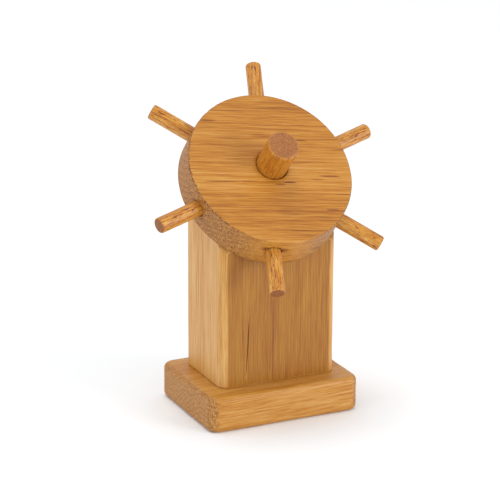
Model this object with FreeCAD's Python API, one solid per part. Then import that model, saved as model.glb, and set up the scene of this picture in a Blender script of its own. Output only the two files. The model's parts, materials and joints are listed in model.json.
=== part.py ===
import FreeCAD, Part
import math
import os

# A toy ship's wheel on a stand: a block post on a small base board, its top cut
# at a slope, with a round peg square to the slope and a six-spoked wheel that
# turns loosely on the peg.
#
# Frame: millimetres, +Z up, +X to the wheel's right, and the wheel looks
# forwards and up, towards -Y and +Z. The origin is the middle of the base
# board's underside.

# Base board
BASE_WIDTH = 84.0
BASE_DEPTH = 64.5
BASE_HEIGHT = 18.5
BASE_CORNER_RADIUS = 6.0
BASE_EDGE_RADIUS = 2.8

# Post
POST_WIDTH = 65.0
POST_DEPTH = 44.5
POST_SETBACK = 1.8
POST_SHIFT = 1.1
POST_CORNER_RADIUS = 5.0
SLOPE_DEG = 45.0
SLOPE_HEIGHT = 113.1
SLOPE_EDGE_BREAK = 0.5

# Wheel
WHEEL_RADIUS = 43.2
WHEEL_THICKNESS = 19.0
WHEEL_EDGE_RADIUS = 0.6
HUB_FROM_SLOPE_MIDDLE = 2.9
SEAT_GAP = 0.05

# Spokes
SPOKE_RADIUS = 4.0
SPOKE_REACHES = (67.6, 68.0, 67.4, 66.6, 67.2, 66.4)
SPOKE_SOCKET_DEPTH = 17.0
SPOKE_END_RADIUS = 0.9
FIRST_SPOKE_DEG = 77.0

# Peg that the wheel turns on
PEG_RADIUS = 8.1
PEG_SOCKET_DEPTH = 13.5
PEG_STAND_OUT = 19.3
PEG_END_RADIUS = 0.9
BORE_CLEARANCE = 0.35
BORE_OFF_CENTRE_X = 1.1
BORE_OFF_CENTRE_UP = 1.3
HANG = 0.25

# Screws that hold the post down
SCREW_SPACING = 36.0
SCREW_HEAD_RADIUS = 4.2
SCREW_HEAD_SINK = 0.6
SCREW_HEAD_HEIGHT = 3.2
SCREW_SHANK_RADIUS = 2.25
SCREW_CORE_RADIUS = 1.5
SCREW_LENGTH = 45.0
SCREW_THREAD_LENGTH = 24.0
SCREW_THREAD_PITCH = 2.0
SCREW_TIP_LENGTH = 5.0
SCREW_CLEARANCE = 0.15
RECESS_WIDTH = 1.1
RECESS_REACH = 2.2
RECESS_DEPTH = 2.0

ORIGIN = FreeCAD.Vector(0, 0, 0)
UP = FreeCAD.Vector(0, 0, 1)

slope = math.radians(SLOPE_DEG)
wheel_axis = FreeCAD.Vector(0, -math.sin(slope), math.cos(slope))
up_slope = FreeCAD.Vector(0, math.cos(slope), math.sin(slope))
slope_middle = FreeCAD.Vector(POST_SHIFT, POST_SETBACK, SLOPE_HEIGHT)
seat_centre = slope_middle + up_slope * HUB_FROM_SLOPE_MIDDLE
bore_seat = seat_centre + FreeCAD.Vector(BORE_OFF_CENTRE_X, 0, 0) + up_slope * BORE_OFF_CENTRE_UP
peg_seat = bore_seat + up_slope * HANG


def rounded_block(width, depth, height, corner_radius):
    """A standing block on the origin with rounded upright corners."""
    block = Part.makeBox(width, depth, height, FreeCAD.Vector(-width / 2, -depth / 2, 0))
    uprights = [edge for edge in block.Edges if is_upright(edge)]
    return block.makeFillet(corner_radius, uprights)


def is_upright(edge):
    """True for a straight edge that runs along +Z."""
    first, last = edge.Vertexes[0].Point, edge.Vertexes[-1].Point
    return abs(first.x - last.x) + abs(first.y - last.y) < 1e-6


def level_edges(shape, height):
    """The shape's edges that lie flat at one height."""
    return [edge for edge in shape.Edges
            if abs(edge.BoundBox.ZMin - height) < 1e-4 and abs(edge.BoundBox.ZMax - height) < 1e-4]


def rim_edges(shape, radius):
    """The shape's round edges of one radius."""
    return [edge for edge in shape.Edges
            if isinstance(edge.Curve, Part.Circle) and abs(edge.Curve.Radius - radius) < 1e-4]


def rod(radius, length, start, direction):
    """A plain round rod from a point along a direction."""
    return Part.makeCylinder(radius, length, start, direction)


def rod_with_round_end(radius, length, start, direction, end_radius):
    """A round rod whose far rim is rounded and whose near rim is square."""
    stick = rod(radius, length, start, direction)
    far_middle = start + direction * length
    far_rim = [edge for edge in rim_edges(stick, radius)
               if (edge.Curve.Center - far_middle).Length < 1e-4]
    return stick.makeFillet(end_radius, far_rim)


def spoke_direction(index):
    """Unit vector of one spoke, in the plane of the wheel."""
    turn = math.radians(FIRST_SPOKE_DEG - index * 360.0 / len(SPOKE_REACHES))
    return FreeCAD.Vector(math.cos(turn), 0, 0) + up_slope * math.sin(turn)


def screw_places():
    """The two points on the underside where the screws go in."""
    middle = FreeCAD.Vector(POST_SHIFT, POST_SETBACK, 0)
    return [middle + FreeCAD.Vector(side * SCREW_SPACING / 2, 0, 0) for side in (-1, 1)]


def make_base_board():
    board = rounded_block(BASE_WIDTH, BASE_DEPTH, BASE_HEIGHT, BASE_CORNER_RADIUS)
    soft_edges = level_edges(board, 0) + level_edges(board, BASE_HEIGHT)
    board = board.makeFillet(BASE_EDGE_RADIUS, soft_edges)
    for place in screw_places():
        hole = rod(SCREW_SHANK_RADIUS + SCREW_CLEARANCE, BASE_HEIGHT, place, UP)
        board = board.cut(hole)
        board = board.cut(countersink(place))
    return board


def countersink(place):
    """The cone and the short straight mouth that a flat screw head sinks into."""
    cone_start = place + UP * SCREW_HEAD_SINK
    mouth = rod(SCREW_HEAD_RADIUS, SCREW_HEAD_SINK, place, UP)
    cone = Part.makeCone(SCREW_HEAD_RADIUS, SCREW_SHANK_RADIUS, SCREW_HEAD_HEIGHT, cone_start, UP)
    return mouth.fuse(cone)


def make_post():
    tall = rounded_block(POST_WIDTH, POST_DEPTH, 2 * SLOPE_HEIGHT, POST_CORNER_RADIUS)
    tall.translate(FreeCAD.Vector(POST_SHIFT, POST_SETBACK, BASE_HEIGHT))
    post = tall.cut(slope_waste())
    slope_rim = [edge for edge in post.Edges if lies_on_slope(edge)]
    post = post.makeChamfer(SLOPE_EDGE_BREAK, slope_rim)
    post = post.cut(peg_socket())
    for place in screw_places():
        pilot = rod(SCREW_SHANK_RADIUS, SCREW_LENGTH + SCREW_HEAD_SINK, place, UP)
        post = post.cut(pilot)
    return post


def slope_waste():
    """A large block whose lower face is the slope plane."""
    size = 4 * SLOPE_HEIGHT
    block = Part.makeBox(size, size, size, FreeCAD.Vector(-size / 2, -size / 2, 0))
    block.rotate(ORIGIN, FreeCAD.Vector(1, 0, 0), SLOPE_DEG)
    block.translate(slope_middle)
    return block


def lies_on_slope(edge):
    """True if every end and the middle of an edge are on the slope plane."""
    points = [vertex.Point for vertex in edge.Vertexes]
    points.append(edge.valueAt((edge.FirstParameter + edge.LastParameter) / 2))
    return all(abs((point - slope_middle).dot(wheel_axis)) < 1e-4 for point in points)


def peg_socket():
    """The blind hole for the peg, square to the slope."""
    bottom = peg_seat - wheel_axis * PEG_SOCKET_DEPTH
    return rod(PEG_RADIUS, 2 * PEG_SOCKET_DEPTH, bottom, wheel_axis)


def make_peg():
    bottom = peg_seat - wheel_axis * PEG_SOCKET_DEPTH
    length = PEG_SOCKET_DEPTH + SEAT_GAP + WHEEL_THICKNESS + PEG_STAND_OUT
    return rod_with_round_end(PEG_RADIUS, length, bottom, wheel_axis, PEG_END_RADIUS)


def make_wheel_disc():
    back = seat_centre + wheel_axis * SEAT_GAP
    disc = rod(WHEEL_RADIUS, WHEEL_THICKNESS, back, wheel_axis)
    disc = disc.makeFillet(WHEEL_EDGE_RADIUS, rim_edges(disc, WHEEL_RADIUS))
    bore_start = bore_seat - wheel_axis
    bore = rod(PEG_RADIUS + BORE_CLEARANCE, 2 * WHEEL_THICKNESS, bore_start, wheel_axis)
    disc = disc.cut(bore)
    for index in range(len(SPOKE_REACHES)):
        direction = spoke_direction(index)
        floor = spoke_centre() + direction * (WHEEL_RADIUS - SPOKE_SOCKET_DEPTH)
        disc = disc.cut(rod(SPOKE_RADIUS, 2 * SPOKE_SOCKET_DEPTH, floor, direction))
    return disc


def spoke_centre():
    """The middle of the disc, which every spoke points away from."""
    return seat_centre + wheel_axis * (SEAT_GAP + WHEEL_THICKNESS / 2)


def make_spoke(index, reach):
    direction = spoke_direction(index)
    inner = WHEEL_RADIUS - SPOKE_SOCKET_DEPTH
    start = spoke_centre() + direction * inner
    return rod_with_round_end(SPOKE_RADIUS, reach - inner, start, direction, SPOKE_END_RADIUS)


def make_screw(place):
    """A wood screw, point up: sunk head, smooth shank, ringed thread and point."""
    head_base = SCREW_HEAD_SINK
    top = head_base + SCREW_LENGTH
    tip_start = top - SCREW_TIP_LENGTH
    ring_count = int(SCREW_THREAD_LENGTH / SCREW_THREAD_PITCH)
    thread_start = tip_start - ring_count * SCREW_THREAD_PITCH
    outline = [(0, head_base), (SCREW_HEAD_RADIUS, head_base)]
    outline.append((SCREW_SHANK_RADIUS, head_base + SCREW_HEAD_HEIGHT))
    outline.append((SCREW_SHANK_RADIUS, thread_start))
    for ring in range(ring_count):
        foot = thread_start + ring * SCREW_THREAD_PITCH
        outline.append((SCREW_CORE_RADIUS, foot + 0.3 * SCREW_THREAD_PITCH))
        outline.append((SCREW_CORE_RADIUS, foot + 0.7 * SCREW_THREAD_PITCH))
        outline.append((SCREW_SHANK_RADIUS, foot + SCREW_THREAD_PITCH))
    outline.append((0, top))
    points = [FreeCAD.Vector(radius, 0, height) for radius, height in outline]
    profile = Part.Face(Part.makePolygon(points + points[:1]))
    screw = profile.revolve(ORIGIN, UP, 360)
    for turn in (0, 90):
        slot = Part.makeBox(2 * RECESS_REACH, RECESS_WIDTH, RECESS_DEPTH,
                            FreeCAD.Vector(-RECESS_REACH, -RECESS_WIDTH / 2, head_base))
        slot.rotate(ORIGIN, UP, turn)
        screw = screw.cut(slot)
    screw.translate(place)
    return screw


def single_solid(shape):
    """The one solid of a shape, cleaned of split faces."""
    return shape.Solids[0].removeSplitter()


def build_parts():
    parts = {
        "base_board": make_base_board(),
        "post": make_post(),
        "axle_peg": make_peg(),
        "wheel_disc": make_wheel_disc(),
    }
    for index, reach in enumerate(SPOKE_REACHES):
        parts["spoke_%d" % (index + 1)] = make_spoke(index, reach)
    for name, place in zip(("left", "right"), screw_places()):
        parts["post_screw_" + name] = make_screw(place)
    return parts


os.makedirs("parts", exist_ok=True)
for name, shape in build_parts().items():
    solid = single_solid(shape)
    solid.exportStep("parts/" + name + ".step")
    box = solid.BoundBox
    print("%-18s valid %s  solids %d  volume %.1f  z %.2f to %.2f"
          % (name, solid.isValid(), len(shape.Solids), solid.Volume, box.ZMin, box.ZMax))
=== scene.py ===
import json
import math

import bmesh
import bpy
import numpy as np
from mathutils import Matrix, Vector


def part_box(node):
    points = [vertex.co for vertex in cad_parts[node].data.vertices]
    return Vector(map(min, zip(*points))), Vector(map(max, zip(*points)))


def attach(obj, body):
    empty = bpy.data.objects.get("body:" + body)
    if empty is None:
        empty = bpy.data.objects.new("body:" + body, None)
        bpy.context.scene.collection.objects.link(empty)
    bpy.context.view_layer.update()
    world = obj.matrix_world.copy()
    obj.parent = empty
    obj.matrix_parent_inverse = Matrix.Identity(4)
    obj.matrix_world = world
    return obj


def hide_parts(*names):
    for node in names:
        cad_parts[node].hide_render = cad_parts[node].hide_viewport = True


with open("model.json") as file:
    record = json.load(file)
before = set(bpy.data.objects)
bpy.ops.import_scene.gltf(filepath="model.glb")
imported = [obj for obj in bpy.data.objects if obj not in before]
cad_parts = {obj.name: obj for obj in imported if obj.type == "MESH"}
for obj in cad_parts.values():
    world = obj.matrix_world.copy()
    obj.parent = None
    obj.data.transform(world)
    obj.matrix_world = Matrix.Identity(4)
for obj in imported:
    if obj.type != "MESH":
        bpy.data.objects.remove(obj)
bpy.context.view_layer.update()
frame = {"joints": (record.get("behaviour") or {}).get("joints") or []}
MM = 0.001

# Base board: a short length of planed board, its grain running left to right. Its upright
# corners are sawn round and every edge is sanded soft by hand, and two countersunk holes for
# the post's screws come up through it.

BOARD_CORNER = 6.0 * MM
BOARD_EDGE = 2.8 * MM
BOARD_STEP = 0.8 * MM
BOARD_WANDER = 0.25 * MM
SCREW_HOLE = 2.4 * MM
SCREW_HEAD = 4.2 * MM
SCREW_SINK = 0.6 * MM
SCREW_HEAD_DEEP = 3.2 * MM
board_low, board_high = (np.array(corner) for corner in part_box("base_board"))
screw_boxes = {side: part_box("post_screw_" + side) for side in ("left", "right")}
screw_places = {side: np.array((low + high) / 2)[:2] for side, (low, high) in screw_boxes.items()}

# Dents near the front left corner: (place from the board's front left foot, size, depth).
BOARD_DENTS = [
    (np.array([2.4, 1.2, 10.5]) * MM, 0.9 * MM, 0.45 * MM),
    (np.array([3.7, 0.3, 8.6]) * MM, 0.6 * MM, 0.35 * MM),
    (np.array([1.4, 2.2, 13.4]) * MM, 1.1 * MM, 0.40 * MM),
    (np.array([4.1, 0.4, 3.8]) * MM, 0.8 * MM, 0.35 * MM),
    (np.array([0.3, 20.0, 9.0]) * MM, 1.4 * MM, 0.20 * MM),
]


def smooth_noise(points, size, seed):
    """Smooth random height from 0 to 1: every corner of a lattice of cubes gets a random value,
    and a point blends the values of its cube's eight corners with an S-curve."""
    cell = points / size
    base = np.floor(cell).astype(np.int64)
    part = cell - base
    part = part * part * (3 - 2 * part)
    height = np.zeros(points.shape[:-1])
    for corner in np.ndindex(2, 2, 2):
        index = base + corner
        mixed = index[..., 0] * 73856093 ^ index[..., 1] * 19349663 ^ index[..., 2] * 83492791
        mixed = mixed ^ seed * 7919
        mixed = (mixed ^ mixed >> 13) * 1274126177 & 0xFFFFFFFF
        value = ((mixed ^ mixed >> 16) & 0xFFFF) / 65535
        height += value * np.prod(np.where(np.array(corner) == 1, part, 1 - part), axis=-1)
    return height


def ease(low, high, value):
    """S-curve of a value: 0 at low and 1 at high."""
    share = np.clip((value - low) / (high - low), 0, 1)
    return share * share * (3 - 2 * share)


def even(low, high, step):
    """Evenly spaced values from low to high, about a step apart, with the middle among them."""
    return np.linspace(low, high, 2 * math.ceil((high - low) / step / 2) + 1)


def rounded_rectangle(across, along, radius):
    """Columns of a rounded rectangle, anticlockwise from the front left. Each has a point on the
    rectangle through the four corner centres, and the outward normal that carries it out."""
    turns = np.linspace(0, math.pi / 2, max(9, int(radius / (0.5 * MM))))
    sides = [
        (across[1:-1], along[0], across[-1], along[0]),
        (across[-1], along[1:-1], across[-1], along[-1]),
        (across[-2:0:-1], along[-1], across[0], along[-1]),
        (across[0], along[-2:0:-1], across[0], along[0]),
    ]
    spine, normal = [], []
    for quarter, (side_x, side_y, corner_x, corner_y) in enumerate(sides):
        facing = (quarter - 1) * math.pi / 2
        side = np.stack(np.broadcast_arrays(side_x, side_y), axis=-1)
        corner = np.broadcast_to((corner_x, corner_y), (len(turns), 2))
        angle = np.concatenate([np.full(len(side), facing), facing + turns])
        spine += [side, corner]
        normal.append(np.stack([np.cos(angle), np.sin(angle)], axis=-1))
    return np.concatenate(spine), np.concatenate(normal)


def standing(flat, level):
    """Points of a grid from their places in plan and their heights."""
    return np.concatenate([flat, np.broadcast_to(level, flat.shape[:-1])[..., None]], axis=-1)


def grid_faces(rows, columns, closed):
    """Quads between neighbouring rows and columns of a grid. The last column joins the first, and
    where closed, so does the last row."""
    index = np.arange(rows * columns).reshape(rows, columns)
    index = np.concatenate([index, index[:, :1]], axis=1)
    if closed:
        index = np.concatenate([index, index[:1]], axis=0)
    corners = (index[:-1, :-1], index[:-1, 1:], index[1:, 1:], index[1:, :-1])
    return np.stack(corners, axis=-1).reshape(-1, 4)


def grid_piece(name, grids, body, slot, *nodes):
    """One piece from grids of points, each (points, closed, poles). Columns run round, rows run up
    or inwards, and poles names the end rows that close in a fan to their own middle."""
    points, faces, count = [], [], 0
    for grid, closed, poles in grids:
        rows, columns = grid.shape[:2]
        faces += (grid_faces(rows, columns, closed) + count).tolist()
        points.append(grid.reshape(-1, 3))
        first = count + np.arange(columns)
        count += rows * columns
        for pole in poles:
            row = 0 if pole == "first" else rows - 1
            ring = first + row * columns
            pair = (np.roll(ring, -1), ring) if pole == "first" else (ring, np.roll(ring, -1))
            faces += np.stack([*pair, np.full(columns, count)], axis=-1).tolist()
            points.append(grid[row].mean(axis=0)[None])
            count += 1
    mesh = bpy.data.meshes.new(name)
    mesh.from_pydata(np.concatenate(points).tolist(), [], faces)
    shell = bmesh.new()
    shell.from_mesh(mesh)
    bmesh.ops.remove_doubles(shell, verts=shell.verts, dist=0.002 * MM)
    shell.to_mesh(mesh)
    shell.free()
    mesh.polygons.foreach_set("use_smooth", [True] * len(mesh.polygons))
    mesh.set_sharp_from_angle(angle=math.radians(50))
    piece = bpy.data.objects.new(name, mesh)
    bpy.context.scene.collection.objects.link(piece)
    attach(piece, body)
    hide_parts(*nodes)
    return piece


def board_wall(spine, normal):
    """The wall and the soft edges: at each height the outline is carried out along its normals,
    less a quarter circle at the top and the bottom. The hand sanding wanders by a fraction of a
    millimetre, and each dent is a small bell-shaped hollow."""
    height = board_high[2] - board_low[2]
    quarter = np.linspace(0, math.pi / 2, 9)
    straight = np.linspace(BOARD_EDGE, height - BOARD_EDGE, 17)[1:-1]
    inset = np.concatenate([1 - np.sin(quarter), np.zeros(len(straight)), 1 - np.cos(quarter)])
    foot = BOARD_EDGE * (1 - np.cos(quarter))
    head = height - BOARD_EDGE * (1 - np.sin(quarter))
    level = board_low[2] + np.concatenate([foot, straight, head])[:, None]
    rough = standing(np.broadcast_to(spine + normal * BOARD_CORNER, (len(level), *spine.shape)), level)
    wander = smooth_noise(rough, 9 * MM, 3) + 0.5 * smooth_noise(rough, 4 * MM, 4) - 0.75
    carry = BOARD_CORNER - BOARD_EDGE * inset[:, None]
    carry = carry + BOARD_WANDER * wander * ease(1.0, 0.5, inset)[:, None]
    for place, size, depth in BOARD_DENTS:
        distance = np.linalg.norm(rough - board_low - place, axis=-1)
        carry = carry - depth * np.exp(-((distance / size) ** 2))
    return standing(spine + normal * carry[..., None], level)


def board_half(top_edge, bottom_edge, hole):
    """Half of the top and the bottom with its screw hole: from the top outline straight in to the
    hole, down its wall, out along the countersink, and out to the bottom outline."""
    away = top_edge[:, :2] - hole
    away = away / np.linalg.norm(away, axis=1, keepdims=True)
    top, bottom = board_high[2], board_low[2]
    rings = [(SCREW_HOLE, top), (SCREW_HOLE, bottom + SCREW_SINK + SCREW_HEAD_DEEP)]
    rings += [(SCREW_HEAD, bottom + SCREW_SINK), (SCREW_HEAD, bottom)]
    rows = np.stack([standing(hole + away * radius, level) for radius, level in rings])
    share = np.linspace(0, 1, 7)[1:-1, None, None]
    inward = top_edge * (1 - share) + rows[0] * share
    outward = rows[-1] * (1 - share) + bottom_edge * share
    return np.concatenate([top_edge[None], inward, rows, outward, bottom_edge[None]])


def make_base_board():
    """The wall and the two halves, which meet along the board's middle line."""
    middle = ((board_low + board_high) / 2)[:2]
    reach = ((board_high - board_low) / 2)[:2] - BOARD_CORNER
    across, along = (even(-size, size, BOARD_STEP) for size in reach)
    spine, normal = rounded_rectangle(across, along, BOARD_CORNER)
    wall = board_wall(spine + middle, normal)
    front, back = np.flatnonzero(np.abs(spine[:, 0]) < 0.001 * MM)
    share = np.linspace(0, 1, 60)[1:-1, None]
    grids = [(wall, False, ())]
    for start, stop, side in ((front, back, "right"), (back, front + len(spine), "left")):
        columns = np.arange(start, stop + 1) % len(spine)
        edges = [wall[row][columns] for row in (-1, 0)]
        top, bottom = (
            np.concatenate([edge, edge[-1] * (1 - share) + edge[0] * share]) for edge in edges)
        grids.append((board_half(top, bottom, screw_places[side]), False, ()))
    return grid_piece("board", grids, "root", "board_wood", "base_board")


class Tone:
    """A shader socket for Python arithmetic: each operation on it adds a Math node."""

    def __init__(self, finish, socket):
        self.finish = finish
        self.socket = socket

    def math(self, operation, *values):
        return self.finish.node("ShaderNodeMath", {"operation": operation}, dict(enumerate(values)))

    def __add__(self, other):
        return self.math("ADD", self, other)

    def __sub__(self, other):
        return self.math("SUBTRACT", self, other)

    def __mul__(self, other):
        return self.math("MULTIPLY", self, other)

    def __truediv__(self, other):
        return self.math("DIVIDE", self, other)

    def __pow__(self, other):
        return self.math("POWER", self, other)

    def __rsub__(self, other):
        return self.math("SUBTRACT", other, self)

    def __abs__(self):
        return self.math("ABSOLUTE", self)

    __radd__ = __add__
    __rmul__ = __mul__

    def ease(self, low, high):
        """S-curve of the value: 0 at low and 1 at high, whichever is the larger."""
        settings = {"interpolation_type": "SMOOTHSTEP"}
        values = {"Value": self, "From Min": low, "From Max": high}
        return self.finish.node("ShaderNodeMapRange", settings, values)


class Finish:
    """A material while it is made: every node comes from its one method."""

    def __init__(self, name):
        self.material = bpy.data.materials.new(name)
        self.material.use_nodes = True
        self.material.node_tree.nodes.clear()

    def node(self, kind, settings, values, output=0):
        """Adds one node, its settings first and then the value or link of each socket."""
        node = self.material.node_tree.nodes.new(kind)
        for key, value in settings.items():
            if key != "stops":
                setattr(node, key, value)
                continue
            for place, colour in value[1:-1]:
                node.color_ramp.elements.new(place)
            for element, (place, colour) in zip(node.color_ramp.elements, value):
                element.position = place
                element.color = (*colour, 1)
        for key, value in values.items():
            if isinstance(value, Tone):
                self.material.node_tree.links.new(value.socket, node.inputs[key])
            else:
                node.inputs[key].default_value = value
        return Tone(self, node.outputs[output]) if node.outputs else None

    def vector(self, operation, *values, output=0):
        return self.node("ShaderNodeVectorMath", {"operation": operation}, dict(enumerate(values)), output)

    def noise(self, place, stretch, seed, detail=2.0, rough=0.5):
        """Noise from 0 to 1 at a place in millimetres; stretch is the grains per millimetre."""
        moved = self.vector("MULTIPLY_ADD", place, stretch, (seed, 1.7 * seed, 0.6 * seed))
        values = {"Vector": moved, "Scale": 1.0, "Detail": detail, "Roughness": rough}
        return self.node("ShaderNodeTexNoise", {}, values)

    def ramp(self, tone, stops):
        return self.node("ShaderNodeValToRGB", {"stops": stops}, {0: tone})

    def mix(self, share, first, second, blend="MIX"):
        """Colour between two, by share."""
        settings = {"data_type": "RGBA", "blend_type": blend}
        return self.node("ShaderNodeMix", settings, {0: share, 6: first, 7: second}, output=2)

    def done(self, colour, roughness, height, depth, **uniform):
        """Ends the material with a shader whose relief is depth metres high."""
        values = {"Strength": 1.0, "Distance": depth, "Height": height}
        relief = self.node("ShaderNodeBump", {}, values)
        values = {"Base Color": colour, "Roughness": roughness, "Normal": relief, **uniform}
        shader = self.node("ShaderNodeBsdfPrincipled", {}, values)
        self.node("ShaderNodeOutputMaterial", {}, {"Surface": shader})
        return self.material


def shown(red, green, blue):
    """Scene-linear colour of an 8-bit display colour."""
    return tuple(((part / 255 + 0.055) / 1.055) ** 2.4 for part in (red, green, blue))


# Tones of the oiled timber, from its darkest streaks to its palest fibres, and of its end grain.
TIMBER = [
    (0.0, shown(88, 37, 8)), (0.22, shown(138, 77, 14)), (0.42, shown(173, 107, 24)),
    (0.6, shown(191, 129, 42)), (0.8, shown(204, 150, 75)), (1.0, shown(216, 173, 109)),
]
TIMBER_END = [
    (0.0, shown(96, 46, 14)), (0.35, shown(148, 92, 30)), (0.65, shown(177, 123, 52)),
    (1.0, shown(214, 166, 106)),
]
# How fine each of the timber's noises is: grains per millimetre along the grain and both ways
# across it.
BROAD_TONE = (0.008, 0.05, 0.05)
RING_DRIFT = (0.010, 0.04, 0.04)
FIBRES = (0.025, 1.1, 1.1)
FINE_FIBRES = (0.08, 3.8, 3.8)
DARK_LINES = (0.04, 2.4, 2.4)
RING_DEPTH = (0.004, 0.4, 0.4)
PORES = (0.3, 0.5, 0.5)
END_SPECKS = (1.0, 2.8, 0.9)
# The last sets the patches of painted shade for the nicks round a disc's edges.
NICK_SHADE_SPOTS = (1.1, 1.1, 1.1)
TIMBER_RELIEF = 0.10 * MM


def grown_place(made, heart, along, across):
    """Place in the tree's own directions, in millimetres: x along the grain from the heart point,
    y across it, z the third way. Also how squarely a surface cuts the grain, 0 to 1."""
    along, across = Vector(along).normalized(), Vector(across).normalized()
    turn = Matrix((along, across, along.cross(across)))
    where = made.node("ShaderNodeTexCoord", {}, {}, output="Object")
    facing = made.node("ShaderNodeTexCoord", {}, {}, output="Normal")
    values = {"Vector": where, "Rotation": turn.to_euler(), "Scale": (1000, 1000, 1000)}
    values["Location"] = -1000 * (turn @ Vector(heart))
    place = made.node("ShaderNodeMapping", {"vector_type": "POINT"}, values)
    return place, facing, abs(made.vector("DOT_PRODUCT", facing, along, output="Value"))


def timber(name, heart, along, across, level, seed, pith, rings, figure, marks=(), painted_face_shade=None,
           rim=None):
    """Oiled timber, a solid pattern in a tree's own directions. A ring is a distance from the
    pith line, and rings holds their spacing and depth of tone. Fibres are noise drawn out along
    the grain, and figure is how strong they are. A mark is a streak in the shape of a long
    ellipsoid: (its middle, its half sizes, its lean, its depth of tone). A face shade colour,
    where given, is painted shade multiplied into the front and back faces, and rim, a disc's
    radius and half thickness, marks where patches of painted shade for the nicks darken its edges."""
    made = Finish(name)
    place, facing, squareness = grown_place(made, heart, along, across)
    x, y, z = (made.node("ShaderNodeSeparateXYZ", {}, {0: place}, output=axis) for axis in range(3))
    broad = made.noise(place, BROAD_TONE, seed)
    drift = made.noise(place, RING_DRIFT, seed + 3.1)
    fibre = made.noise(place, FIBRES, seed + 5.3, detail=4, rough=0.6)
    fine = made.noise(place, FINE_FIBRES, seed + 7.7, detail=3, rough=0.65)
    line = made.noise(place, DARK_LINES, seed + 8.4, detail=1).ease(0.60, 0.76)
    away_y, away_z = y - pith[0] + (drift - 0.5) * 9, z - pith[1] + (drift - 0.5) * 7
    ring = (away_y * away_y + away_z * away_z) ** 0.5 / rings[0] + (fibre - 0.5) * 0.2
    grown = ring.math("FRACT", ring)
    arcs = grown ** 3 * grown.ease(1.0, 0.93)
    late = arcs * made.noise(place, RING_DEPTH, seed + 9.2).ease(0.35, 0.65)
    tone = level + (fibre - 0.5) * (0.75 * figure) + (fine - 0.5) * (0.9 * figure)
    tone = tone + (broad - 0.5) * 0.5 - late * rings[1] - line * (0.12 * figure)
    for middle, half, lean, depth in marks:
        wander = (drift - 0.5) * 2 + (fibre - 0.5) * 0.8
        off_x = (x - middle[0]) / half[0]
        off_y = (y - middle[1] - (x - middle[0]) * lean + wander) / half[1]
        off_z = (z - middle[2]) / half[2]
        inside = (off_x * off_x + off_y * off_y + off_z * off_z).ease(1.0, 0.2)
        tone = tone - inside * (0.5 + fine) * depth
    cut = squareness.ease(0.12, 0.60)
    pores = made.noise(place, PORES, seed + 11.9, detail=4, rough=0.7)
    speck = made.noise(place, END_SPECKS, seed + 13.1, detail=3, rough=0.65)
    end_tone = level - 0.05 + (pores - 0.5) * 0.5 + (speck - 0.5) * 2.2 - arcs * 0.22
    if rim is not None:
        # Painted shade: patches along the rim's edges are darkened, for the shade in the nicks there.
        off_axis = (x * x + y * y) ** 0.5
        edge = off_axis.ease(rim[0] - 0.9, rim[0] - 0.2) * abs(z).ease(rim[1] - 0.9, rim[1] - 0.3)
        nick_shade = made.noise(place, NICK_SHADE_SPOTS, seed + 15.0, detail=2).ease(0.46, 0.60)
        end_tone = end_tone - edge * nick_shade * 0.5
        tone = tone - edge * nick_shade * cut * 0.4
    side_colour = made.ramp(tone, TIMBER)
    # Painted shade: faces looking straight to the front or back are multiplied by the face shade colour,
    # for the shade that falls on them.
    if painted_face_shade is not None:
        painted_shade_share = abs(made.vector("DOT_PRODUCT", facing, (0, 1, 0), output="Value"))
        painted_shade_share = painted_shade_share.ease(0.955, 0.998)
        side_colour = made.mix(painted_shade_share, side_colour, (*painted_face_shade, 1), blend="MULTIPLY")
    colour = made.mix(cut, side_colour, made.ramp(end_tone, TIMBER_END))
    roughness = 0.42 + (fine - 0.5) * 0.3 + cut * 0.14
    height = fibre * 0.4 + fine * 0.5 + pores * cut * 0.5 - line * 0.3
    return made.done(colour, roughness, height, TIMBER_RELIEF)


base_board = make_base_board()
base_board.data.materials.append(timber(
    "board timber", (0, 0, 9 * MM), (1, 0, 0), (0, 1, 0), level=0.66, seed=2.0, pith=(-26, -34),
    rings=(2.2, 0.16), figure=1.3))

# Post: a block of the same timber stood on end, its grain upright. Its upright corners are
# rounded, its top is sawn off at a slope, and its foot is glued and screwed down on the board.

POST_CORNER = 5.0 * MM
POST_STEP = 0.45 * MM
SLOPE_EDGE = 0.5 * MM
SLOPE_CORNER = 1.6 * MM
FOOT_EDGE = 0.45 * MM
FOOT_CHIP = 0.8 * MM
POST_WANDER = 0.10 * MM
CRACK_X = -17.8 * MM
CRACK_LEAN = 0.062
CRACK_LOW = 20 * MM
CRACK_HIGH = 60 * MM
CRACK_DEEP = 0.45 * MM
CRACK_HALF_WIDTH = 0.16 * MM
post_low, post_high = (np.array(corner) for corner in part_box("post"))
hinge = frame["joints"][0]
wheel_axis = np.array(hinge["axis"])
wheel_right = np.array([1.0, 0.0, 0.0])
wheel_up = np.cross(wheel_axis, wheel_right)
wheel_middle = np.array(hinge["pos_m"])
WHEEL_THICKNESS = 19.0 * MM
SEAT_GAP = 0.05 * MM
seat = wheel_middle - wheel_axis * (WHEEL_THICKNESS / 2 + SEAT_GAP)


def slope_height(flat):
    """Height of the sloping cut above a place in plan."""
    return seat[2] - (flat[..., 1] - seat[1]) * wheel_axis[1] / wheel_axis[2]


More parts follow.
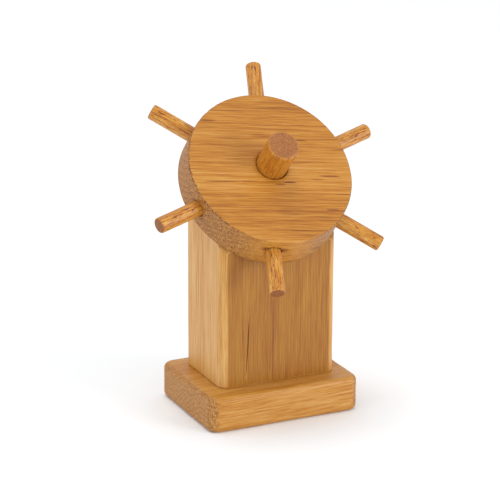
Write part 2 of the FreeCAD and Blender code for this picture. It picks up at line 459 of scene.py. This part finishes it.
def make_post():
    """Rows go up the wall from a foot that is chipped along its edge, round the arris of the
    slope, and in over the slope to its middle. A shallow crack runs up the front."""
    middle = ((post_low + post_high) / 2)[:2]
    reach = ((post_high - post_low) / 2)[:2] - POST_CORNER
    across, along = (even(-size, size, POST_STEP) for size in reach)
    dense = CRACK_X - middle[0] + np.linspace(-1.5, 3.5, 41) * MM
    across = np.unique(np.round(np.concatenate([across, dense]), 6))
    spine, normal = rounded_rectangle(across, along, POST_CORNER)
    spine = spine + middle
    quarter = np.linspace(0, math.pi / 2, 6)
    lift = np.concatenate([np.linspace(0, 2, 9), np.linspace(3, 30, 28)]) * MM
    share = [np.zeros(len(lift)), np.linspace(0, 1, 90)[1:], np.ones(len(quarter) - 1)]
    share = np.concatenate(share)[:, None]
    lift = np.concatenate([lift, np.full(len(share) - len(lift), lift[-1])])[:, None]
    arris = SLOPE_EDGE + SLOPE_CORNER * (2 * np.abs(normal[:, 0] * normal[:, 1])) * (normal[:, 1] < 0)
    round_in = np.concatenate([np.zeros(len(share) - len(quarter)), quarter])[:, None]
    drop = arris * (1 - np.sin(round_in))
    inset = arris * (1 - np.cos(round_in))
    flat = spine + normal * (POST_CORNER - inset)[..., None]
    top = slope_height(flat) - drop
    level = (post_low[2] + lift) * (1 - share) + top * share
    rough = standing(flat, level)
    above = level - post_low[2]
    wander = POST_WANDER * (smooth_noise(rough, 14 * MM, 11) - 0.5) * ease(0, 8 * MM, above)
    chip = ease(0.60, 0.85, smooth_noise(rough * (1, 1, 0), 1.3 * MM, 12))
    chip = chip * ease(0.3, 0.8, smooth_noise(rough, 9 * MM, 13)) * ease(1.1 * MM, 0.1 * MM, above)
    foot = FOOT_EDGE * ease(FOOT_EDGE * 1.5, 0, above) + FOOT_CHIP * chip
    bend = 0.3 * MM * (smooth_noise(rough * (0, 0, 1), 5 * MM, 14) - 0.5)
    crack_x = CRACK_X + CRACK_LEAN * (level - CRACK_LOW) + bend
    span = ease(CRACK_LOW, CRACK_LOW + 6 * MM, level) * ease(CRACK_HIGH, CRACK_HIGH - 8 * MM, level)
    crack = CRACK_DEEP * np.exp(-(((flat[..., 0] - crack_x) / CRACK_HALF_WIDTH) ** 2))
    crack = crack * span * (normal[:, 1] < -0.9)
    carry = POST_CORNER - inset + wander * (share < 1) - foot - crack
    wall = standing(spine + normal * carry[..., None], level)
    over = []
    for shrink in (0.97, 0.85, 0.6, 0.3, 0.05):
        inner = middle + (spine - middle) * shrink + normal * (POST_CORNER - arris[:, None]) * shrink
        over.append(standing(inner, slope_height(inner)))
    under = []
    for shrink in (0.1, 0.5, 0.9, 0.98):
        inner = middle + (spine - middle) * shrink + normal * POST_CORNER * 0.9 * shrink
        under.append(standing(inner, post_low[2]))
    rows = np.concatenate([np.stack(under), wall, np.stack(over)])
    return grid_piece("post_block", [(rows, False, ("first", "last"))], "root", "post_wood", "post")


post = make_post()
# Streaks in the post, in millimetres up from 60 mm, to the right and back: the crack, a thin line
# beside it, a dark patch above them, and two fine lines on the left side.
POST_MARKS = [
    ((-20.0, -16.60, -20.45), (24.0, 0.45, 4.0), 0.0615, 0.65),
    ((-19.0, -2.4, -20.45), (28.0, 0.35, 3.0), 0.0, 0.42),
    ((27.0, -22.5, -20.45), (20.0, 4.5, 3.0), 0.02, 0.10),
    ((-10.0, -31.4, 8.6), (14.0, 4.0, 0.45), 0.0, 0.35),
    ((14.0, -31.4, -15.5), (50.0, 4.0, 0.40), 0.0, 0.25),
]
# The post's front and back faces get painted shade from the face shade colour.
post.data.materials.append(timber(
    "post timber", (0, 0, 60 * MM), (0, 0, 1), (1, 0, 0), level=0.80, seed=21.0, pith=(10, 130),
    rings=(2.3, 0.22), figure=1.3, marks=POST_MARKS, painted_face_shade=(0.60, 0.455, 0.08)))

# Wheel disc: sawn round from a thick board of the same timber, the grain running almost level
# across its face. It is bored through for the peg, a little off its middle, and it has six blind
# sockets in its rim.

WHEEL_RADIUS = 43.2 * MM
WHEEL_EDGE = 0.6 * MM
WHEEL_LEAN = 1.1 * MM
WHEEL_GRAIN_TURN = math.radians(-8.5)
BORE_RADIUS = 8.45 * MM
BORE_RIGHT = 1.1 * MM
BORE_UP = 1.3 * MM
SPOKE_RADIUS = 4.0 * MM
SOCKET_PLAY = 0.12 * MM
SOCKET_SHOWN = 3.0 * MM
SOCKET_REACH = 5.7 * MM
SOCKET_STEP = 0.3 * MM
RIM_BAND = 4 * MM
RIM_WANDER = 0.12 * MM
NICK_DEEP = 0.6 * MM
# How far the torn fibres reach from each spoke's socket, and their depth as a share of it.
TORN_REACHES = np.array([1.0, 1.0, 1.0, 2.3, 1.0, 1.0]) * MM
TORN_DEPTH = 0.22
disc_middle = wheel_middle - wheel_right * BORE_RIGHT - wheel_up * BORE_UP
spoke_nodes = ["spoke_%d" % (number + 1) for number in range(6)]


def spoke_turn(node):
    """Angle of a spoke in the wheel's plane, from the middle of its node's box."""
    low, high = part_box(node)
    out = np.array((low + high) / 2) - disc_middle
    return math.atan2(out @ wheel_up, out @ wheel_right)


spoke_turns = np.array([spoke_turn(node) for node in spoke_nodes])


def dense_about(coarse, centres, half_span, step):
    """Coarse values with fine ones added about each centre."""
    fine = [centre + np.arange(-half_span, half_span + step / 2, step) for centre in centres]
    return np.unique(np.round(np.concatenate([coarse, *fine]), 7))


def in_wheel_frame(radius, turn, height):
    """Points from distance off the disc's middle, angle round it and height along its axis from
    mid-thickness. Inward from the rim the rings slide over to the bore, which is a little off
    the middle."""
    slide = ease(WHEEL_RADIUS - RIM_BAND, BORE_RADIUS, radius)
    right = radius * np.cos(turn) + slide * BORE_RIGHT
    up = radius * np.sin(turn) + slide * BORE_UP
    flat = right[..., None] * wheel_right + up[..., None] * wheel_up
    return disc_middle + flat + height[..., None] * wheel_axis


def make_wheel():
    """Columns go round the axle, and rows go up the rim, in over the face, down the bore and out
    over the back. The saw leaned, so the rim's back edge lies a little lower than its front. The
    rim sinks in at each socket, and its edge is nicked where the saw came out across the grain."""
    half = WHEEL_THICKNESS / 2
    quarter = np.linspace(0, math.pi / 2, 6)
    coarse = np.linspace(-math.pi, math.pi, 420, endpoint=False)
    near = (spoke_turns + math.pi) % (2 * math.pi) - math.pi
    turn = dense_about(coarse, near, SOCKET_REACH / WHEEL_RADIUS, SOCKET_STEP / WHEEL_RADIUS)
    rim = np.linspace(-half + WHEEL_EDGE, half - WHEEL_EDGE, 31)[1:-1]
    rim = dense_about(rim, [0.0], SOCKET_REACH, SOCKET_STEP)
    arris = WHEEL_EDGE * (1 - np.sin(quarter))
    face = np.linspace(WHEEL_RADIUS - WHEEL_EDGE, BORE_RADIUS + 0.1 * MM, 20)[1:]
    bore = np.linspace(half - 0.1 * MM, 0.1 * MM - half, 7)
    radius = np.concatenate([
        WHEEL_RADIUS - arris, np.full(len(rim), WHEEL_RADIUS), WHEEL_RADIUS - arris[::-1],
        face, np.full(len(bore), BORE_RADIUS), face[::-1]])
    edge = WHEEL_EDGE * (1 - np.cos(quarter))
    height = np.concatenate([
        edge - half, rim, half - edge[::-1],
        np.full(len(face), half), bore, np.full(len(face), -half)])
    rows = len(edge) * 2 + len(rim)
    on_rim = np.arange(len(radius))[:, None] < rows
    turn, radius, height = np.broadcast_arrays(turn[None], radius[:, None], height[:, None])
    rough = in_wheel_frame(radius, turn, height)
    radius = radius + on_rim * RIM_WANDER * (smooth_noise(rough, 7 * MM, 21) - 0.5)
    end_grain = -np.cos(turn - WHEEL_GRAIN_TURN)
    nick = ease(0.55, 0.85, smooth_noise(rough, 1.3 * MM, 22)) * ease(0.3, 0.8, end_grain)
    near_edge = ease(half - 1.3 * MM, half - 0.2 * MM, height) * on_rim
    radius = radius - NICK_DEEP * nick * near_edge
    mouth = SPOKE_RADIUS + SOCKET_PLAY
    for number, (spoke, reach) in enumerate(zip(spoke_turns, TORN_REACHES)):
        arc = WHEEL_RADIUS * ((turn - spoke + math.pi) % (2 * math.pi) - math.pi)
        distance = np.hypot(arc, height)
        radius = radius - SOCKET_SHOWN * ease(mouth + 0.1 * MM, mouth - 0.1 * MM, distance) * on_rim
        torn = ease(0.45, 0.65, smooth_noise(rough, 0.9 * MM, 30 + number))
        torn = torn * ease(mouth + reach, mouth, distance)
        radius = radius - TORN_DEPTH * reach * torn * on_rim * (distance > mouth)
    lean = WHEEL_LEAN * ease(half, -half, height) * ease(BORE_RADIUS, WHEEL_RADIUS - RIM_BAND, radius)
    lean = lean * np.maximum(-np.sin(turn), 0)
    grid = in_wheel_frame(radius, turn, height) - lean[..., None] * wheel_up
    return grid_piece("wheel", [(grid, True, ())], "wheel", "wheel_wood", "wheel_disc")


wheel = make_wheel()
grain = wheel_right * math.cos(WHEEL_GRAIN_TURN) + wheel_up * math.sin(WHEEL_GRAIN_TURN)
# Gum streaks on the face: (along the grain, across it, half length, half width, depth of tone).
WHEEL_STREAKS = [
    (31.0, -4.5, 7.0, 0.60, 0.46), (24.0, -6.5, 5.0, 0.50, 0.25), (-30.0, 27.0, 7.0, 0.55, 0.40),
    (-28.0, -8.5, 11.0, 0.50, 0.34), (-13.0, -8.0, 6.0, 0.45, 0.34), (8.5, -8.4, 4.5, 0.50, 0.45),
    (3.5, -9.6, 4.0, 0.60, 0.3), (-2.0, 18.5, 8.0, 1.6, 0.14), (29.0, -24.0, 4.5, 0.50, 0.4),
    (18.0, 16.5, 5.0, 0.45, 0.3), (-10.0, -31.0, 9.0, 0.5, 0.2), (5.0, -14.5, 10.0, 0.5, 0.2),
]
wheel_marks = [
    ((along, across, 9.5), (length, width, 5.0), 0.0, depth)
    for along, across, length, width, depth in WHEEL_STREAKS]
# The rim is darker on both sides of the lowest spoke, over its torn fibres.
wheel_marks.append(((-3.4, -43.0, 2.5), (9.5, 3.0, 3.0), 0.0, 0.42))
wheel.data.materials.append(timber(
    "wheel timber", disc_middle, grain, np.cross(wheel_axis, grain), level=0.55, seed=41.0,
    pith=(-70, -42), rings=(3.1, 0.18), figure=1.1, marks=wheel_marks,
    rim=(WHEEL_RADIUS / MM, WHEEL_THICKNESS / 2 / MM)))

# Peg: a thick hardwood rod glued into the post, square to the slope. The wheel hangs on it.
# Spokes: six thinner rods of the same hardwood, cut by hand and glued into the rim.

PEG_RADIUS = 8.1 * MM
PEG_STAND_OUT = 19.3 * MM
PEG_SOCKET = 13.5 * MM
PEG_END = 1.8 * MM
HANG = 0.25 * MM
SPOKE_END = 0.9 * MM
SPOKE_SOCKET = 17.0 * MM
SPOKE_REACHES = np.array([67.6, 68.0, 67.4, 66.6, 67.2, 66.4]) * MM
TIP_DOME = 0.12 * MM
ROD_WANDER = 0.10 * MM
ROD_RELIEF = 0.12 * MM
# Tones of the hardwood, darkest first, and of its end grain.
ROD = [
    (0.0, shown(60, 24, 4)), (0.25, shown(118, 53, 10)), (0.45, shown(171, 99, 22)),
    (0.62, shown(192, 126, 38)), (0.82, shown(211, 152, 62)), (1.0, shown(228, 186, 108)),
]
ROD_END = [
    (0.0, shown(74, 30, 8)), (0.4, shown(127, 66, 22)), (0.7, shown(159, 97, 40)),
    (1.0, shown(191, 135, 79)),
]
# How fine the hardwood's noises are: grains per millimetre along the rod and both ways across.
ROD_BROAD_TONE = (0.03, 0.16, 0.16)
ROD_FIBRES = (0.10, 1.5, 1.5)
ROD_FLECKS = (0.30, 1.9, 1.9)
ROD_FINE_FIBRES = (0.5, 4.5, 4.5)


def make_rod(name, start, out, length, radius, end_radius, body, slot, node, seed):
    """A rod: rings along a direction, very slightly out of round and out of true, a quarter
    circle at the shown end and a faintly domed tip."""
    out = np.array(out)
    side = np.cross(out, wheel_axis if abs(out @ wheel_axis) < 0.9 else wheel_right)
    side = side / np.linalg.norm(side)
    other = np.cross(out, side)
    quarter = np.linspace(0, math.pi / 2, 9)
    tip = np.linspace(1, 0, 7)[1:-1]
    flat_radius = radius - end_radius
    straight = np.linspace(0, length - end_radius, 40)[:-1]
    reach = np.concatenate([
        straight, length - end_radius * (1 - np.sin(quarter)), length + TIP_DOME * (1 - tip ** 2)])
    girth = np.concatenate([
        np.full(len(straight), radius), radius - end_radius * (1 - np.cos(quarter)),
        flat_radius * tip])
    turn = np.linspace(0, 2 * math.pi, 64, endpoint=False)
    reach, girth, turn = np.broadcast_arrays(reach[:, None], girth[:, None], turn[None])
    around = np.cos(turn)[..., None] * side + np.sin(turn)[..., None] * other
    rough = start + reach[..., None] * out + (radius * around)
    wander = (smooth_noise(rough, 6 * MM, seed) - 0.5) * ROD_WANDER
    girth = girth + wander * (girth / radius) * ease(0, 0.4 * length, reach)
    grid = start + reach[..., None] * out + girth[..., None] * around
    return grid_piece(name, [(grid, False, ("first", "last"))], body, slot, node)


def hardwood(name, heart, along, across, level, end_level, figure, seed):
    """Oiled hardwood rod: fibres drawn out along it, short dark flecks between them, and a
    reddish end grain."""
    made = Finish(name)
    place, _, squareness = grown_place(made, heart, along, across)
    broad = made.noise(place, ROD_BROAD_TONE, seed)
    fibre = made.noise(place, ROD_FIBRES, seed + 2.3, detail=4, rough=0.62)
    flecks = made.noise(place, ROD_FLECKS, seed + 4.9, detail=1, rough=0.4).ease(0.60, 0.72)
    fine = made.noise(place, ROD_FINE_FIBRES, seed + 6.1, detail=2, rough=0.6)
    grain_tone = (fibre - 0.5) * 1.1 + (fine - 0.5) * 0.6 + (broad - 0.5) * 0.5 - flecks * 0.34
    tone = level + grain_tone * figure
    cut = squareness.ease(0.60, 0.95)
    end_tone = end_level + (fine - 0.5) * 1.5 + (fibre - 0.5) * 1.0
    colour = made.mix(cut, made.ramp(tone, ROD), made.ramp(end_tone, ROD_END))
    roughness = 0.36 + (fine - 0.5) * 0.3 + cut * 0.18
    return made.done(colour, roughness, fibre * 0.6 + fine * 0.4 - flecks * 0.3, ROD_RELIEF)


peg_start = seat + wheel_up * HANG - wheel_axis * PEG_SOCKET
peg_length = PEG_SOCKET + SEAT_GAP + WHEEL_THICKNESS + PEG_STAND_OUT
peg = make_rod(
    "peg", peg_start, wheel_axis, peg_length, PEG_RADIUS, PEG_END, "root", "peg_wood", "axle_peg", 51)
peg.data.materials.append(hardwood(
    "peg hardwood", peg_start, wheel_axis, wheel_right, level=0.60, end_level=0.66, figure=0.75,
    seed=61.0))

for number, (node, angle, reach) in enumerate(zip(spoke_nodes, spoke_turns, SPOKE_REACHES)):
    out = wheel_right * math.cos(angle) + wheel_up * math.sin(angle)
    inner = disc_middle + out * (WHEEL_RADIUS - SPOKE_SOCKET)
    length = reach - WHEEL_RADIUS + SPOKE_SOCKET
    spoke = make_rod(
        node + "_rod", inner, out, length, SPOKE_RADIUS, SPOKE_END, "wheel", "spoke_wood", node,
        71 + number)
    spoke.data.materials.append(hardwood(
        node + " hardwood", inner, out, wheel_axis, level=0.64, end_level=0.5, figure=1.25,
        seed=81.0 + 6 * number))

# Post screws: two zinc-plated countersunk wood screws, driven up through the board.

SCREW_SHANK = 2.25 * MM
SCREW_CORE = 1.5 * MM
SCREW_PITCH = 2.0 * MM
SCREW_TIP = 5.0 * MM
SCREW_THREAD = 24.0 * MM
RECESS_DEEP = 2.0 * MM
RECESS_HALF_WIDTH = 0.5 * MM
RECESS_REACH = 1.9 * MM


def make_screw(side):
    """Rows go in over the head, whose cross-shaped recess is pressed in, then round its rim and
    up the shank. The thread is a ridge whose phase advances one turn in each pitch."""
    low, high = (np.array(corner) for corner in screw_boxes[side])
    centre = standing(screw_places[side], low[2])
    length = high[2] - low[2]
    turn = np.linspace(0, 2 * math.pi, 48, endpoint=False)[None]
    head = np.linspace(0.02, 1, 30)[:, None] * SCREW_HEAD
    thread_start = length - SCREW_TIP - SCREW_THREAD
    plain = np.linspace(SCREW_HEAD_DEEP, thread_start, 6)
    cut = np.arange(thread_start, length, SCREW_PITCH / 10)[1:]
    shank = np.concatenate([plain, cut])[:, None]
    right, up = np.abs(head * np.cos(turn)), np.abs(head * np.sin(turn))
    cross = ease(RECESS_HALF_WIDTH + 0.25 * MM, RECESS_HALF_WIDTH, np.minimum(right, up))
    cross = cross * ease(RECESS_REACH + 0.6 * MM, RECESS_REACH, np.maximum(right, up))
    head_level = RECESS_DEEP * cross * ease(3.2 * MM, 0.4 * MM, head)
    ridge = np.abs(((shank / SCREW_PITCH - turn / (2 * math.pi)) % 1) * 2 - 1)
    taper = ease(length, length - SCREW_TIP, shank)
    threaded = ease(thread_start, thread_start + SCREW_PITCH, shank)
    ridge_height = (SCREW_SHANK - SCREW_CORE) * ease(0.35, 1.0, ridge)
    body = SCREW_SHANK * (1 - threaded) + (SCREW_CORE + ridge_height) * threaded
    body = body * (0.04 + 0.96 * taper)
    radius = np.concatenate([np.broadcast_to(head, head_level.shape), body])
    level = np.concatenate([head_level, np.broadcast_to(shank, body.shape)])
    ring = np.stack([np.cos(turn), -np.sin(turn)], axis=-1)
    grid = (centre + standing(radius[..., None] * ring, level))[:, ::-1]
    return grid_piece(
        "screw_" + side, [(grid, False, ("first", "last"))], "root", "screw_steel",
        "post_screw_" + side)


def plated_steel():
    """Yellow zinc on steel: a metal with a faint cloudiness and fine scratches."""
    made = Finish("yellow zinc plate")
    where = made.node("ShaderNodeTexCoord", {}, {}, output="Object")
    place = made.vector("MULTIPLY", where, (1000, 1000, 1000))
    cloud = made.noise(place, (0.4, 0.4, 0.4), 3.0)
    scratch = made.noise(place, (6.0, 0.5, 0.5), 5.0)
    colour = made.mix(cloud, (*shown(196, 176, 120), 1), (*shown(214, 204, 176), 1))
    return made.done(colour, 0.28 + (scratch - 0.5) * 0.2, scratch, 0.01 * MM, Metallic=1.0)


zinc = plated_steel()
for side in screw_boxes:
    make_screw(side).data.materials.append(zinc)

# The place it stands in: a plain white floor, a white surround and soft lamps.

FLOOR_REACH = 4.0
SURROUND_STRENGTH = 0.80


def make_floor():
    """A flat white sheet under the board."""
    mesh = bpy.data.meshes.new("floor")
    corners = [(-1, -1, 0), (1, -1, 0), (1, 1, 0), (-1, 1, 0)]
    mesh.from_pydata([Vector(corner) * FLOOR_REACH for corner in corners], [], [(0, 1, 2, 3)])
    floor = bpy.data.objects.new("floor", mesh)
    bpy.context.scene.collection.objects.link(floor)
    made = Finish("white sheet")
    values = {"Base Color": (0.95, 0.975, 0.995, 1), "Roughness": 0.9, "Specular IOR Level": 0.1}
    shader = made.node("ShaderNodeBsdfPrincipled", {}, values)
    made.node("ShaderNodeOutputMaterial", {}, {"Surface": shader})
    mesh.materials.append(made.material)


def make_lamp(name, toward, distance, size, power):
    """A square soft lamp that stands off in a direction and faces the wheel."""
    light = bpy.data.lights.new(name, "AREA")
    light.shape = "SQUARE"
    light.size = size
    light.energy = power
    lamp = bpy.data.objects.new(name, light)
    bpy.context.scene.collection.objects.link(lamp)
    toward = Vector(toward).normalized()
    lamp.location = Vector(wheel_middle) + toward * distance
    lamp.rotation_euler = toward.to_track_quat("Z", "Y").to_euler()


make_floor()
surround = bpy.data.worlds.new("white surround")
surround.use_nodes = True
background = surround.node_tree.nodes["Background"]
background.inputs["Color"].default_value = (1, 1, 1, 1)
background.inputs["Strength"].default_value = SURROUND_STRENGTH
bpy.context.scene.world = surround
make_lamp("front right lamp", (0.60, -0.80, 0.22), 1.6, 0.7, 9.0)
make_lamp("left lamp", (-1.0, -0.20, 0.08), 1.6, 0.9, 4.5)
make_lamp("overhead lamp", (-0.10, 0.15, 1.0), 3.0, 1.6, 26.0)

# Camera: a long lens a little above and to the left of the wheel's front.

VIEW_AZIMUTH = math.radians(25.43)
VIEW_ELEVATION = math.radians(17.53)
VIEW_ROLL = math.radians(0.28)
VIEW_DISTANCE = 1.1422
VIEW_AIM = Vector((0, 0, 0.0864))
VIEW_SHIFT = (-0.00519, -0.00349)
VIEW_LENS = 161.27

right = Vector((math.cos(VIEW_AZIMUTH), -math.sin(VIEW_AZIMUTH), 0))
away = Vector((-math.sin(VIEW_AZIMUTH), -math.cos(VIEW_AZIMUTH), 0))
back = away * math.cos(VIEW_ELEVATION) + Vector((0, 0, math.sin(VIEW_ELEVATION)))
up = back.cross(right)
lens = bpy.data.cameras.new("camera")
lens.lens = VIEW_LENS
lens.clip_start = 0.05
camera = bpy.data.objects.new("camera", lens)
bpy.context.scene.collection.objects.link(camera)
level_view = Matrix((right, up, back)).transposed()
camera.matrix_world = (
    Matrix.Translation(VIEW_AIM + right * VIEW_SHIFT[0] + up * VIEW_SHIFT[1] + back * VIEW_DISTANCE)
    @ level_view.to_4x4() @ Matrix.Rotation(VIEW_ROLL, 4, "Z"))
bpy.context.scene.camera = camera
bpy.context.scene.view_settings.view_transform = "Standard"
